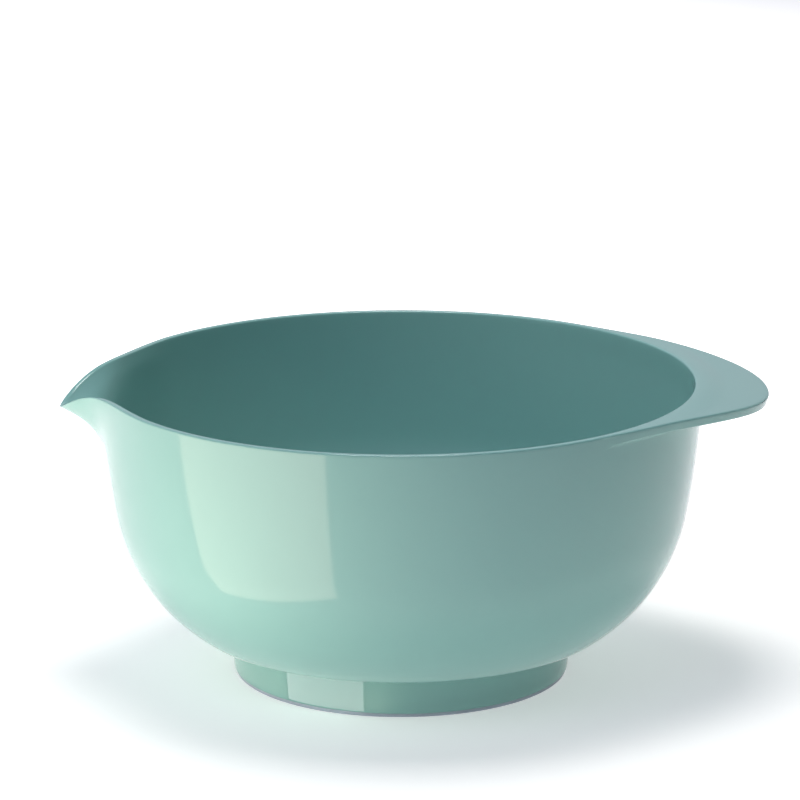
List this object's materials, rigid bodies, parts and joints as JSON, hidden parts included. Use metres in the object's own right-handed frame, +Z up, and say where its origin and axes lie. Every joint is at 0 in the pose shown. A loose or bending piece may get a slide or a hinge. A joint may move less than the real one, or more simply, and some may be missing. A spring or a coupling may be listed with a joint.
{
  "type": "mixing bowl",
  "caption": "Round glossy mixing bowl with a drooping pouring lip, a flat flange handle opposite it, a short foot and a non-slip rubber ring underneath.",
  "frame": {"origin": "centre of the bottom of the object's box, on the plane the rubber ring stands on; the bowl's own axis is 6 mm to the -X side of it", "axes": "+X from the bowl towards the handle, with the pouring lip at -X; +Z up, out of the bowl's mouth; +Y to the left when looking along +X"},
  "size_m": [0.3335, 0.284, 0.1414],
  "materials": {
    "sage_moulding": "glossy one-piece thermoset moulding, muted sage green, faint depth of gloss",
    "grey_rubber": "matt grey rubber with a fine moulded grain"
  },
  "bodies": {
    "root": {"bowl_body": "sage_moulding", "base_ring": "grey_rubber"}
  },
  "joints": []
}
